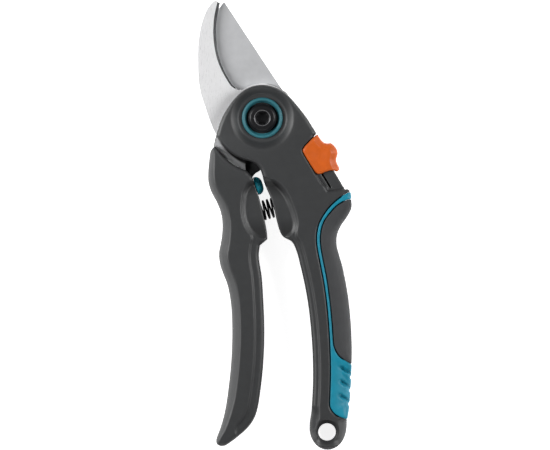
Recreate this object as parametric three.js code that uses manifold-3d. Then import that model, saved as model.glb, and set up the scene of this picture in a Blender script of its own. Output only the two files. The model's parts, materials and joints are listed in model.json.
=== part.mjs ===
// A bypass pruner: a hooked counter blade and a curved cutting blade that slide past each other on one
// pivot bolt, two moulded handles pushed apart by a coil spring, and a thumb slide that locks them shut.
//
// Frame, in millimetres: the origin is on the pivot axis, at the end of the bolt, in the plane of the
// handles' backs. +Y runs towards the blade tips, +X towards the lock slide and +Z out of the face with the
// bolt head. The pruner is drawn shut and locked, lying on its back. Every piece is drawn about the shear
// plane, where the two blades meet, and the finished group is lifted by half the handles' thickness.
//
// The fixed side is the handle with the lock slide and the counter blade. The moving side is the other
// handle and the cutting blade, and it opens clockwise about the pivot as seen from the front.

import * as THREE from "three";
import { mergeVertices } from "three/addons/utils/BufferGeometryUtils.js";
import Module from "manifold-3d";

const wasm = await Module();
wasm.setup();

// ---------------------------------------------------------------- driving dimensions

const HALF = 10; // half the thickness of both handles, so they are 20 thick
const EDGE = 1.7; // rounding of the handles' edges
const GAP = 0.3; // clearance where one piece is let into another
const SLICE = 0.1; // half the running gap between the blades
const FAR = 20; // well clear of the pruner's faces, for cutting tools that run right through

const COUNTER_TOP = 3.3; // front face of the counter blade
const CUTTER_BOTTOM = -3.1; // rear face of the cutting blade
const HUB_TOP = -3.3; // front face of the moving handle's hub, behind the cutting blade

const HUB_R = 15.4; // moving handle's hub
const HUB_CLEAR_R = 17.2; // where the fixed handle's rear half begins, outside the hub
const HEAD_ARC_R = 26.3; // top of the moving handle, concentric with the pivot
const CUTTER_HUB_R = 16.2;
const CATCH_R = 13.8; // floor of the relief in the cutting blade for the lock bar
const COUNTER_HUB_R = 16.6;

const BOLT_R = 4;
const BOLT_HEAD_R = 6.8;
const BOLT_TOP = 9.2;
const BUSH_R = 5.2;
const BUSH_BORE_R = 4.1;
const HUB_BORE_R = 5.3;
const BOWL_R = 15.8; // dished recess round the bolt
const BOWL_FLOOR_R = 12;
const BOWL_FLOOR = 7;
const BOLT_SEAT = 5.5;
const RING_OUT_R = 9.8;
const RING_IN_R = 7.5;
const NUT_SEAT = -5.2;
const NUT_RECESS_R = 9.6;

const HANG_HOLE = [31.1, -150.8];
const HANG_HOLE_R = 4.2;

const SCOOP_FACE = 7.4; // half the thickness left in the scoops beside the spring

const SPRING_CENTRE = [2.9, -43.7];
const SPRING_TURN = 15.9; // degrees from +X to the spring's axis
const SPRING_R = 4.4;
const SPRING_WIRE_R = 0.5;
const SPRING_TURNS = 7;
const SPRING_HALF = 6.6;
const SPRING_POCKET_R = 5.6;
const SPRING_POCKET_HALF = 7.2;
const SPRING_PEG_R = 3.2;
const SPRING_PEG_GAP = 3.6; // from the spring's middle to the end of each peg

const BUMPER_SEAT = [-3.5, -32.9];
const BUMPER_TURN = 17;
const BUMPER_R = 4.4;
const BUMPER_STEM_R = 2.2;

// The lock slide runs in its own frame: u down along the handle's edge and v outwards, both from the pivot.
const TRACK_TURN = -59; // degrees from +X to u
const TRACK_EDGE_V = 16.6;
const TRACK_RECESS = [[22.6, 8], [46.8, 8], [50.7, 16.7], [20.2, 16.7]]; // u and v of its corners
const TRACK_NOTCH = [[20.3, 16.6], [45.6, 16.6], [45.6, 40], [19.3, 40], [19.3, 20.3]];
const TRACK_FACE = 8.5; // the handle is thinner under the slide
const SLIT = [33, 10.4, 45.6, 11.2]; // low u and v to high u and v
const SLIDE_TRAVEL = 6.5;
const LOCK_BAR_Z = [-2.9, -0.5];
const LOCK_BAR_ARM = [14.4, -2, 27, 2]; // low u and v to high u and v, towards the cutting blade's hub
const LOCK_BAR_CROSS = [22.5, -2, 27, 18.2]; // out to the slide
const DETENT = { from: 29, to: 37, low: 15, high: 16.3, leaf: 0.4, z: [3.2, 6.8] };

const SOFT_SKIN = 3; // soft material over the handle's core, at the outer edge
const CORE_HALF = 6.2; // half the thickness of the core under the soft material
const SEAM = 0.15; // half the gap between the soft mouldings

const BLADE_SCREWS = [
  [-14.2, -34],
  [-13.6, -47],
];
const COUNTER_SCREWS = [
  [14, -31.5],
  [20.6, -49],
];
const SCREW_R = 1.7;
const SCREW_HEAD_R = 3.2;
const SCREW_FACE = -9.6;
const SCREW_HEAD = 1.9; // height of a screw's head
const COUNTER_SCREW_END = 4.6;
const BLADE_SCREW_END = 2.6;

// ---------------------------------------------------------------- shapes from curves

const radians = (degrees) => (degrees * Math.PI) / 180;
const vectors = (points) => points.map(([x, y]) => new THREE.Vector2(x, y));

// A smooth curve through a few points.
function spline(points) {
  const knots = points.map(([x, y]) => new THREE.Vector3(x, y, 0));
  return new THREE.CatmullRomCurve3(knots, false, "centripetal");
}

// A fixed number of steps along a smooth curve, so that two outlines with the same counts can be lofted.
function samples(points, count) {
  return spline(points)
    .getSpacedPoints(count)
    .map((p) => new THREE.Vector2(p.x, p.y));
}

// A smooth curve sampled about every `step` millimetres. Two points make a straight line.
function run(points, step = 5) {
  if (points.length === 2) return vectors(points);
  return samples(points, Math.max(2, Math.round(spline(points).getLength() / step)));
}

// An arc about a centre, from one angle to another in degrees, clockwise when `to` is less than `from`.
function arc(r, from, to, step = 3.5, [x, y] = [0, 0]) {
  const count = Math.max(1, Math.round((radians(Math.abs(to - from)) * r) / step));
  return Array.from({ length: count + 1 }, (_, i) => {
    const a = radians(from + ((to - from) * i) / count);
    return new THREE.Vector2(x + r * Math.cos(a), y + r * Math.sin(a));
  });
}

// Joins runs into one closed outline, counter-clockwise, leaving out points that repeat.
function outline(...runs) {
  const points = [];
  for (const p of runs.flat()) if (!points.length || p.distanceTo(points.at(-1)) > 0.05) points.push(p);
  if (points[0].distanceTo(points.at(-1)) <= 0.05) points.pop();
  return THREE.ShapeUtils.area(points) < 0 ? points.reverse() : points;
}

// Moves every point of a path by `d` to the right of its direction of travel, so that a counter-clockwise
// outline grows.
function offset(points, d, closed = true) {
  const n = points.length;
  return points.map((p, i) => {
    const before = closed ? points[(i + n - 1) % n] : points[Math.max(0, i - 1)];
    const after = closed ? points[(i + 1) % n] : points[Math.min(n - 1, i + 1)];
    const a = before === p ? after.clone().sub(p) : p.clone().sub(before);
    const b = after === p ? a.clone() : after.clone().sub(p);
    a.normalize();
    b.normalize();
    const miter = new THREE.Vector2(a.y + b.y, -a.x - b.x).normalize();
    const reach = d / Math.max(0.5, miter.dot(new THREE.Vector2(a.y, -a.x)));
    return p.clone().addScaledVector(miter, reach);
  });
}

// ---------------------------------------------------------------- solids

function solid(geometry) {
  const bare = geometry.clone();
  bare.deleteAttribute("normal");
  bare.deleteAttribute("uv");
  const merged = mergeVertices(bare, 1e-4);
  return new wasm.Manifold(
    new wasm.Mesh({
      numProp: 3,
      vertProperties: merged.attributes.position.array,
      triVerts: new Uint32Array(merged.index.array),
    }),
  );
}

// A flat plate between two heights, with rounded edges inside its outline.
function plate(points, low, high, round = 0, segments = 2) {
  const geometry = new THREE.ExtrudeGeometry(new THREE.Shape(points), {
    depth: high - low - 2 * round,
    bevelEnabled: round > 0,
    bevelThickness: round,
    bevelSize: round,
    bevelOffset: -round,
    bevelSegments: segments,
  });
  return solid(geometry.translate(0, 0, low + round));
}

// A solid through outlines at rising heights. Every outline has the same number of points.
function loft(...layers) {
  const count = layers[0].points.length;
  const positions = layers.flatMap(({ z, points }) => points.flatMap((p) => [p.x, p.y, z]));
  const cap = THREE.ShapeUtils.triangulateShape(layers[0].points, []);
  const lid = THREE.ShapeUtils.triangulateShape(layers.at(-1).points, []);
  const top = (layers.length - 1) * count;
  const index = cap.flatMap(([a, b, c]) => [a, c, b]).concat(lid.flatMap((f) => f.map((i) => i + top)));
  for (let layer = 0; layer < layers.length - 1; layer++) {
    for (let i = 0; i < count; i++) {
      const a = layer * count + i;
      const b = layer * count + ((i + 1) % count);
      index.push(a, b, b + count, a, b + count, a + count);
    }
  }
  const geometry = new THREE.BufferGeometry();
  geometry.setAttribute("position", new THREE.Float32BufferAttribute(positions, 3));
  geometry.setIndex(index);
  return solid(geometry);
}

// A turned solid about Z from a closed profile of [radius, height], counter-clockwise in that plane.
function turned(profile, segments = 32) {
  const points = vectors(profile);
  if (profile[0][0] > 0) points.push(points[0].clone());
  return solid(new THREE.LatheGeometry(points, segments).rotateX(Math.PI / 2));
}

const cylinder = (r, low, high, segments = 32) =>
  turned([[0, low], [r, low], [r, high], [0, high]], segments);

// A rod between two distances along the slanting axis of the spring or the bumper, from a point on it.
function rodAlong(r, from, to, [x, y], degrees) {
  return cylinder(r, from, to, 24).rotate([0, 90, 0]).rotate([0, 0, degrees]).translate([x, y, 0]);
}

const drill = (r, [x, y], low, high, segments = 16) =>
  cylinder(r, low, high, segments).translate([x, y, 0]);

const inTrack = (manifold) => manifold.rotate([0, 0, TRACK_TURN]);

const cut = (body, ...tools) => tools.reduce((left, tool) => left.subtract(tool), body);

// ---------------------------------------------------------------- outlines

// Fixed handle, from the corner under the spring, up the inner edge, round the head and down the outer edge.
const INNER_NECK = [
  [9.5, -56.4], [8.5, -53.2], [6.4, -46], [4.2, -38.8], [2.3, -34.6], [1, -31.3], [0, -27.4],
];
const THROAT = [
  [0, -27.4], [-0.6, -25.4], [-3, -22.2], [-7, -20.6], [-13, -18.2], [-18, -14.2], [-22.3, -8.8],
];
const HEAD = [
  [-22.3, -8.8], [-19.5, -0.2], [-16.2, 5.5], [-13, 9.6], [-9, 13.1], [-4.6, 15.2], [0, 15.9],
  [4.6, 15.2], [8.8, 13.4], [12.6, 10.6], [16.6, 6.1], [20.8, 0.8], [26.2, -7.7],
];
const TRACK_ENDS = [[25.4, -9.3], [39.7, -34.4]];
const TRACK_RIM = [[40.7, -34.1], [41.6, -34.5], [42.3, -35.5], [42.6, -36.6], [42.7, -38]];
const OUTER_EDGE = [
  [42.7, -38], [43.1, -41.2], [42.1, -45.4], [39.2, -49.5], [36.6, -54], [35.6, -59], [36.4, -64],
  [38.2, -70], [40, -78.5], [41.4, -87], [42.5, -98], [43, -109], [42.9, -119], [42.5, -128.5],
  [41.8, -138], [40.6, -146],
];
const HANDLE_END = [
  [40.6, -146], [40.2, -150.8], [38.3, -155.4], [35, -158.4], [31.2, -159.3], [27.4, -158.2],
  [24.3, -155], [22.8, -150.8], [22.7, -147.2], [23.5, -141.5],
];
const INNER_EDGE = [
  [23.5, -141.5], [24.3, -128], [24.2, -115], [23.4, -102], [22, -89.5], [19.9, -78], [17.4, -67.6],
  [15.7, -61.8], [13, -58.2], [9.5, -56.4],
];

// The seam from body to soft trim, and the seam from trim to soft grip, both down from the outer edge.
const TRIM_SEAM = [
  [44.5, -34.4], [41.4, -35.6], [37.6, -38.1], [33.8, -41], [31.2, -44.2], [28.8, -47.5], [27, -51.4],
  [26.1, -56], [26.2, -61], [28.1, -71.5], [30, -82], [31.4, -94], [32.3, -107], [32.7, -120],
  [32.5, -132], [32.4, -138], [33.3, -141.1], [36, -143], [40, -144.4], [44.5, -146.2],
];
const GRIP_SEAM = [
  [45.5, -38.4], [42, -38.9], [38.4, -40.4], [35, -42.8], [31.9, -46.4], [29.4, -50.2], [28.2, -54.4],
  [27.9, -59], [28.7, -65.5], [30.8, -76], [32.3, -86.5], [33.5, -98], [34.3, -108], [35.3, -112.4],
  [38.3, -115.4], [45.5, -119.8],
];
const RIB_NOTCHES = [[43.7, -124.6], [43.3, -130.9], [42.8, -137.4]];
const RIB_NOTCH_R = 1.5;

// Moving handle, down the outer edge, round the tip and up the inner edge.
const PALM_EDGE = [
  [-24.7, -15.7], [-25.2, -18.4], [-25.7, -22.5], [-26, -27.5], [-25.4, -33.4], [-22.7, -38.7],
  [-20.2, -44.5], [-19.1, -51.5], [-19.9, -60], [-20.9, -66.5], [-19.6, -72.5], [-16.8, -80],
  [-15.1, -89], [-14.5, -101], [-14.8, -114.5], [-16.1, -128.5], [-18.1, -141.5], [-20.3, -149.3],
  [-22.1, -154.2],
];
const PALM_TIP = [[-22.1, -154.2], [-22, -156.3], [-20.2, -157.5], [-17.8, -157.3]];
const FINGER_EDGE = [
  [-17.8, -157.3], [-13.4, -154.1], [-8.4, -150.2], [-4.5, -145.4], [-2.4, -140], [-0.9, -131], [0.4, -119],
  [1, -104], [0.6, -89], [-0.3, -76], [-1.4, -68], [-1.8, -64.4], [-1.3, -61.6], [0.2, -59.6], [2.5, -58.2],
];
const SPRING_EDGE = [[2.5, -58.2], [1.9, -53], [0.2, -45], [-1.9, -37.4], [-4.6, -28.6]];
const THROAT_CORNER = [[-4.6, -28.6], [-6.1, -26.9], [-8, -25.05]];

// Shallow finger scoops beside the spring, from the throat down.
const FIXED_SCOOP = [
  [-2, -28], [4, -28.8], [9, -31.8], [12.8, -37], [15.6, -43.5], [17.2, -49.5], [16.8, -54.5],
  [13.5, -58.6], [8, -60],
];
const MOVING_SCOOP = [
  [-2, -29], [-6.8, -30.6], [-9.4, -34.6], [-10.4, -40], [-10.2, -47], [-8.5, -52.5], [-5.2, -57],
  [-1.5, -59.4], [5, -60],
];

// Counter blade: the hook's outer edge, its concave inner edge at the shear face and, bevelled back, at the
// front.
const HOOK_OUTER = [
  [-22.8, 56.6], [-25.8, 53.4], [-28.2, 48.6], [-30, 42], [-31, 34], [-31.1, 26], [-30.6, 17], [-29, 9.5],
  [-26, 2], [-22.4, -7.6],
];
const HOOK_SHEAR = [
  [-20.3, 55.3], [-21.4, 50], [-22.1, 45], [-22.2, 40], [-21.7, 34], [-20.6, 28.6], [-18.6, 23.2],
  [-15.8, 18], [-13.9, 15.4], [-12, 14.1], [-9.6, 13.6],
];
const HOOK_FRONT = [
  [-21.3, 56.1], [-22.7, 50.2], [-23.3, 45], [-23.4, 40], [-22.8, 34], [-21.6, 28.6], [-19.5, 23.2],
  [-16.6, 18], [-14.6, 15.2], [-12.3, 13.9], [-9.7, 13.5],
];
const HOOK_SAMPLES = 18;
const COUNTER_TANG = [
  [18, -8], [20.5, -19], [23, -31], [25, -42], [25.8, -51], [23.5, -55.6], [20, -54], [17.4, -48.5],
  [15, -40], [10.5, -31.5], [4.5, -23.5], [-1.5, -18.6], [-10, -15.8], [-17.6, -11.6],
];

// Cutting blade: the foot of its straight back, its convex edge from the tip and, ground back from that
// edge, the start of the full thickness.
const BLADE_SHOULDER = [10.5, 12.4];
const CUTTING_EDGE = [
  [-18.3, 55.9], [-20.2, 53.6], [-22, 50.4], [-23.3, 45.6], [-23.7, 40], [-23.1, 34], [-21.8, 28.6],
  [-19.8, 23.2], [-17.4, 18], [-16.4, 14],
];
const GRIND_LINE = [
  [-16.8, 53.6], [-17, 50.6], [-17.2, 47], [-17.4, 43], [-17.3, 39], [-16.9, 34], [-16.4, 29], [-15.8, 24],
  [-15.6, 19], [-16.4, 14],
];
const BLADE_SAMPLES = 18;
const BLADE_TANG_OUTER = [
  [-16.4, 14], [-16.6, 6], [-18.4, -1], [-21.4, -7.6], [-22.5, -12], [-21.8, -20], [-19.6, -34],
  [-17.4, -46], [-16.6, -54],
];
const BLADE_TANG_INNER = [[-13, -56.2], [-10.4, -53], [-9.6, -44], [-9.2, -34], [-8, -25.4], [-8, -21.5]];

// Lock slide, seen from the front, from its top corner clockwise.
const SLIDE_OUTLINE = [
  [[26.5, -7.9], [27.7, -9.8], [29.3, -11.6], [31, -12.2], [32.8, -12]],
  [
    [32.8, -12], [34.6, -13.4], [36.1, -16.2], [36, -18], [35.4, -20], [36, -22.2], [37, -24.1],
    [37, -25.3], [36, -25.8],
  ],
  [[36, -25.8], [33.4, -25.2], [30.4, -25.9], [28.2, -26.9], [26.8, -27], [25.6, -26.1]],
  [[25.6, -26.1], [23, -22.2], [19.9, -17]],
  [[19.9, -17], [19.4, -15.7], [19.9, -14.3]],
  [[19.9, -14.3], [22.4, -11.5], [25.8, -8.2], [26.5, -7.9]],
];

// ---------------------------------------------------------------- materials

const material = (color, roughness, metalness) =>
  new THREE.MeshStandardMaterial({ color, roughness, metalness });
const MATERIALS = {
  body: material("#3e3e3f", 0.55, 0),
  softGrip: material("#454546", 0.75, 0),
  trim: material("#2096b0", 0.6, 0),
  slide: material("#e0601c", 0.4, 0),
  bright: material("#dcdcdc", 0.3, 1),
  coated: material("#b9b9b9", 0.4, 1),
  black: material("#1b1b1c", 0.4, 0.6),
  zinc: material("#a8aaad", 0.35, 1),
  bronze: material("#a58350", 0.4, 1),
};

const pruner = new THREE.Group();

function add(name, manifold, finish) {
  const mesh = manifold.getMesh();
  const geometry = new THREE.BufferGeometry();
  const positions = [];
  for (let i = 0; i < mesh.numVert; i++) {
    positions.push(...mesh.vertProperties.subarray(i * mesh.numProp, i * mesh.numProp + 3));
  }
  geometry.setAttribute("position", new THREE.Float32BufferAttribute(positions, 3));
  geometry.setIndex(new THREE.BufferAttribute(mesh.triVerts, 1));
  geometry.computeVertexNormals();
  const made = new THREE.Mesh(geometry, finish);
  made.name = name;
  pruner.add(made);
  return made;
}

function addScrews(name, places, tip) {
  places.forEach(([x, y], i) => {
    add(`${name}_${i + 1}`, bladeScrew(tip), MATERIALS.zinc).position.set(x, y, 0);
  });
}

// ---------------------------------------------------------------- blades

const counterHub = arc(COUNTER_HUB_R, 125, 40);
const counterOutline = (inner) =>
  outline(run(HOOK_OUTER, 4).reverse(), samples(inner, HOOK_SAMPLES), counterHub, run(COUNTER_TANG, 4));

function counterBlade() {
  const shear = counterOutline(HOOK_SHEAR);
  const front = counterOutline(HOOK_FRONT);
  const body = loft(
    { z: SLICE, points: shear },
    { z: SLICE + 0.5, points: shear },
    { z: COUNTER_TOP, points: front },
  );
  const holes = COUNTER_SCREWS.map((at) => drill(SCREW_R + GAP, at, 0, 5));
  return cut(body, cylinder(BUSH_R + GAP, 0, 5), ...holes);
}

function cutterOutline(edge) {
  return outline(
    vectors([BLADE_SHOULDER]),
    samples(edge, BLADE_SAMPLES),
    run(BLADE_TANG_OUTER, 4),
    run(BLADE_TANG_INNER, 4),
    arc(CUTTER_HUB_R, -104, -71),
    arc(CATCH_R, -70, -15),
    arc(CUTTER_HUB_R, -14, 48),
  );
}

// The grind lies on the rear face, so the front face runs flat against the counter blade.
function cuttingBlade() {
  const full = cutterOutline(CUTTING_EDGE);
  const ground = cutterOutline(GRIND_LINE);
  const body = loft(
    { z: CUTTER_BOTTOM, points: ground },
    { z: -SLICE - 0.3, points: full },
    { z: -SLICE, points: full },
  );
  const holes = BLADE_SCREWS.map((at) => drill(SCREW_R + GAP, at, -4, 0));
  return cut(body, cylinder(HUB_BORE_R, -4, 0), ...holes);
}

// ---------------------------------------------------------------- fixed handle and its soft mouldings

const fixedOutline = outline(
  run(INNER_NECK, 4), run(THROAT, 3.4), run(HEAD, 4), run(TRACK_ENDS), run(TRACK_RIM, 1.2), run(OUTER_EDGE),
  run(HANDLE_END, 3.2), run(INNER_EDGE, 6),
);
const envelope = () => plate(fixedOutline, -HALF, HALF, EDGE);

// A plate from a curve sideways to a straight line at x = `side`.
function beside(curve, side, low, high) {
  const [start, end] = [curve[0], curve.at(-1)];
  return plate(outline(vectors([[side, start.y]]), curve, vectors([[side, end.y]])), low, high);
}

// Everything on the outer side of a seam, moved outwards by `d`.
const outsideSeam = (seam, d) => beside(offset(run(seam), -d, false), 70, -FAR, FAR);

// The handle's own material under the soft mouldings, inside the outer edge by `skin` and `half` thick each
// way.
function core(skin, half) {
  const edge = offset(run([...TRACK_RIM, ...OUTER_EDGE.slice(1)]), skin, false);
  return beside(edge, -10, -half, half);
}

// Both faces are scooped down to a thinner web.
function scoop(points, face) {
  const area = outline(run(points));
  return plate(area, face, FAR).add(plate(area, -FAR, -face));
}

function springPocket() {
  const end = SPRING_POCKET_HALF;
  const bore = rodAlong(SPRING_POCKET_R, -end, end, SPRING_CENTRE, SPRING_TURN);
  const pegs = [[-end - 1, -SPRING_PEG_GAP], [SPRING_PEG_GAP, end + 1]]
    .map(([from, to]) => rodAlong(SPRING_PEG_R, from, to, SPRING_CENTRE, SPRING_TURN));
  return cut(bore, ...pegs);
}

function screwHole(at, deep) {
  const recess = drill(SCREW_HEAD_R + 0.25, at, -FAR, SCREW_FACE + SCREW_HEAD + GAP);
  return drill(SCREW_R + 0.2, at, -FAR, deep).add(recess);
}

// Room behind the head for the cutting blade and the moving handle's hub.
function bladeSpace() {
  const points = outline(
    vectors([[-60, 60], [60, 60], [60, 0.5]]),
    arc(HUB_CLEAR_R, 0, -76),
    vectors([[0.8, -22.5], [0.2, -27.4], [-60, -27.4]]),
  );
  return plate(points, -FAR, GAP);
}

// A plate in the slide's frame.
const trackPlate = (points, low, high) => inTrack(plate(vectors(points), low, high));

// A rectangle in the slide's frame, from one corner to the other.
const trackBlock = (u0, v0, z0, u1, v1, z1) =>
  trackPlate([[u0, v0], [u1, v0], [u1, v1], [u0, v1]], z0, z1);

function trackRecess() {
  const front = trackPlate(TRACK_RECESS, TRACK_FACE, FAR);
  const back = trackPlate(TRACK_RECESS, -FAR, -TRACK_FACE);
  return trackPlate(TRACK_NOTCH, -FAR, FAR).add(front).add(back);
}

// The steel tongue, or with `grow` and `travel` the space that it slides in.
function lockBar(grow = 0, travel = 0) {
  const [low, high] = LOCK_BAR_Z;
  const leg = ([u0, v0, u1, v1]) =>
    trackBlock(u0 - grow, v0 - grow, low - grow, u1 + grow + travel, v1 + grow, high + grow);
  return leg(LOCK_BAR_ARM).add(leg(LOCK_BAR_CROSS));
}

function detentPocket() {
  const { from, to, low, z } = DETENT;
  return trackBlock(from - 0.6, low - GAP, z[0] - GAP, to + 0.6, 30, z[1] + GAP);
}

// The front face is dished round the bolt, with a groove for the trim ring and a seat for the bolt head.
function pivotRecess() {
  const bowl = turned([
    [0, BOLT_SEAT], [7.2, BOLT_SEAT], [7.2, 6], [RING_OUT_R + 0.2, 6], [RING_OUT_R + 0.2, BOWL_FLOOR],
    [BOWL_FLOOR_R, BOWL_FLOOR], [BOWL_R, HALF], [BOWL_R + 1, FAR], [0, FAR],
  ]);
  return bowl.add(cylinder(BUSH_R + 0.25, -1, BOLT_SEAT + 0.5));
}

function hangHole() {
  const [x, y] = HANG_HOLE;
  const r = HANG_HOLE_R;
  const rim = r + 1.4;
  return turned([
    [0, -HALF - 1], [rim + 1, -HALF - 1], [rim, -HALF], [r, -HALF + 1.6], [r, HALF - 1.6], [rim, HALF],
    [rim + 1, HALF + 1], [0, HALF + 1],
  ], 36).translate([x, y, 0]);
}

function fixedHandle() {
  const soft = cut(outsideSeam(TRIM_SEAM, -SEAM), core(SOFT_SKIN, CORE_HALF));
  const counterSlot = plate(offset(counterOutline(HOOK_SHEAR), GAP), -0.15, COUNTER_TOP + 0.2);
  const [u0, v0, u1, v1] = SLIT;
  const slit = trackBlock(u0, v0, TRACK_FACE - 3, u1, v1, FAR);
  const screws = COUNTER_SCREWS.map((at) => screwHole(at, COUNTER_SCREW_END + 0.4));
  const body = cut(
    envelope(), soft, bladeSpace(), counterSlot, pivotRecess(), springPocket(), hangHole(),
    scoop(FIXED_SCOOP, SCOOP_FACE), trackRecess(), slit, lockBar(GAP, SLIDE_TRAVEL), detentPocket(),
    ...screws,
  );
  // The slots can leave slivers behind, so only the handle itself is kept.
  return body.decompose().sort((a, b) => b.volume() - a.volume())[0];
}

const softCore = () => core(SOFT_SKIN - GAP, CORE_HALF + GAP);

function softTrim() {
  const notches = RIB_NOTCHES.map((at) => drill(RIB_NOTCH_R, at, -FAR, FAR));
  const region = cut(outsideSeam(TRIM_SEAM, SEAM), outsideSeam(GRIP_SEAM, -SEAM));
  return cut(envelope().intersect(region), softCore(), trackRecess(), ...notches);
}

const softGrip = () => cut(envelope().intersect(outsideSeam(GRIP_SEAM, SEAM)), softCore());

// ---------------------------------------------------------------- moving handle

function movingHandle() {
  const grip = outline(
    run(PALM_EDGE), run(PALM_TIP, 1.2), run(FINGER_EDGE), run(SPRING_EDGE), run(THROAT_CORNER, 2),
    arc(HEAD_ARC_R, 252, 210.5),
  );
  const web = outline(
    arc(HUB_R, -66, 176), // round the pivot, over the top
    run([[-16, -0.5], [-18.8, -2.8], [-22.2, -8.4], [-23.2, -12.6], [-23.2, -18]]),
    vectors([[-16, -30], [-6, -29]]),
    run([[-4.8, -28.4], [-3.1, -26.4], [-0.9, -25], [1.4, -20], [5, -15.4]], 2.4),
  );
  const body = plate(grip, -HALF, HALF, EDGE).add(plate(web, -HALF, HUB_TOP, 0.8, 1));
  const tangSlot = plate(offset(cutterOutline(CUTTING_EDGE), 0.25), HUB_TOP, 0.15);
  const bumperHole = rodAlong(BUMPER_STEM_R + 0.25, -5.4, 6, BUMPER_SEAT, BUMPER_TURN);
  const bumperFlat = rodAlong(BUMPER_R + GAP, 0, 6, BUMPER_SEAT, BUMPER_TURN);
  const hubBore = cylinder(HUB_BORE_R, -FAR, 1).add(cylinder(NUT_RECESS_R, -FAR, NUT_SEAT));
  const screws = BLADE_SCREWS.map((at) => screwHole(at, BLADE_SCREW_END + 0.4));
  return cut(
    body, tangSlot, hubBore, springPocket(), scoop(MOVING_SCOOP, SCOOP_FACE), bumperHole, bumperFlat,
    ...screws,
  );
}

// ---------------------------------------------------------------- pivot

// A six-lobed driver socket.
function socket(r, low, high) {
  const steps = 24;
  const points = Array.from({ length: steps }, (_, i) => {
    const a = (i / steps) * 2 * Math.PI;
    const reach = r * (1 - 0.09 * (1 - Math.cos(6 * a)));
    return new THREE.Vector2(reach * Math.cos(a), reach * Math.sin(a));
  });
  return plate(points, low, high);
}

function pivotBolt() {
  const seat = BOLT_SEAT + 0.1;
  const body = turned([
    [0, -HALF], [BOLT_R - 0.5, -HALF], [BOLT_R, 0.5 - HALF], [BOLT_R, seat], [BOLT_HEAD_R, seat],
    [BOLT_HEAD_R, BOLT_TOP - 1], [BOLT_HEAD_R - 0.9, BOLT_TOP - 0.1], [4.1, BOLT_TOP], [0, BOLT_TOP],
  ]);
  return cut(body, socket(3.5, BOLT_TOP - 3, BOLT_TOP + 1));
}

const pivotRing = () =>
  turned([
    [RING_IN_R, 6.1], [RING_OUT_R, 6.1], [RING_OUT_R, 7.7], [9.3, 8.3], [8.5, 8.3], [8, 7.9],
    [RING_IN_R, 6.9],
  ]);

const pivotBush = () => turned([[BUSH_BORE_R, -5], [BUSH_R, -5], [BUSH_R, 5.4], [BUSH_BORE_R, 5.4]]);

const thrustWasher = () => turned([[4.3, -5.9], [8.8, -5.9], [8.8, -5.3], [4.3, -5.3]]);

const discSpring = () => turned([[4.4, -6.9], [5, -6.9], [7.8, -6.5], [7.8, -6], [7.2, -6], [4.4, -6.4]]);

function pivotNut() {
  const hexagon = Array.from({ length: 6 }, (_, i) => {
    const a = radians(60 * i + 15);
    return new THREE.Vector2(7.5 * Math.cos(a), 7.5 * Math.sin(a));
  });
  const chamfer = turned([[0, -9.8], [6.6, -9.8], [7.6, -9.2], [7.6, -7.6], [6.9, -7], [0, -7]]);
  return cut(plate(hexagon, -9.8, -7).intersect(chamfer), cylinder(BOLT_R + 0.1, -FAR, 0));
}

function bladeScrew(tip) {
  const neck = SCREW_FACE + SCREW_HEAD;
  const body = turned([
    [0, SCREW_FACE], [SCREW_HEAD_R - 0.3, SCREW_FACE], [SCREW_HEAD_R, SCREW_FACE + 0.4],
    [SCREW_HEAD_R, neck], [SCREW_R, neck], [SCREW_R, tip - 0.6], [1, tip], [0, tip],
  ], 16);
  return cut(body, drill(1.7, [0, 0], SCREW_FACE - 1, SCREW_FACE + 1.3, 6));
}

// ---------------------------------------------------------------- spring, bumper and lock

// The wire's centre line. The axis is X, and the middle is at the origin.
class Coil extends THREE.Curve {
  getPoint(t) {
    const reach = SPRING_HALF - SPRING_WIRE_R;
    const a = 2 * Math.PI * SPRING_TURNS * t;
    return new THREE.Vector3(reach * (2 * t - 1), SPRING_R * Math.cos(a), SPRING_R * Math.sin(a));
  }
}

function returnSpring() {
  const wire = new THREE.Shape(arc(SPRING_WIRE_R, 0, 288, SPRING_WIRE_R * 1.26));
  const path = { extrudePath: new Coil(), steps: SPRING_TURNS * 12, bevelEnabled: false };
  return solid(new THREE.ExtrudeGeometry(wire, path));
}

const bumper = () =>
  turned([
    [0, -4.8], [BUMPER_STEM_R - 0.4, -4.8], [BUMPER_STEM_R, -4.3], [BUMPER_STEM_R, 0.2], [BUMPER_R, 0.2],
    [BUMPER_R, 1.5], [3.8, 2.6], [2.5, 3.5], [0, 3.9],
  ], 24);

function lockSlide() {
  const shape = outline(...SLIDE_OUTLINE.map((points) => run(points, 1.6)));
  const body = plate(shape, -9.9, 10.3, 0.9, 2);
  const inside = trackBlock(10, -5, -8.7, 60, TRACK_EDGE_V + 0.2, 8.7);
  const barSlot = trackBlock(22.2, 10, LOCK_BAR_Z[0] - GAP, 27.3, 18.5, LOCK_BAR_Z[1] + GAP);
  return cut(body, inside, barSlot);
}

// An arched leaf that clicks into the slide.
function detentSpring() {
  const { from, to, low, high, leaf, z } = DETENT;
  const middle = (from + to) / 2;
  const [foot, shoulder] = [low + leaf, high - 0.3];
  const arch = [[middle - 1.6, shoulder], [middle, high], [middle + 1.6, shoulder]];
  const upper = run([[from, foot], ...arch, [to, foot]], 1);
  const lower = upper.map((p) => new THREE.Vector2(p.x, p.y - leaf)).reverse();
  return inTrack(plate(outline(upper, lower), z[0], z[1]));
}

// ---------------------------------------------------------------- assembly

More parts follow.
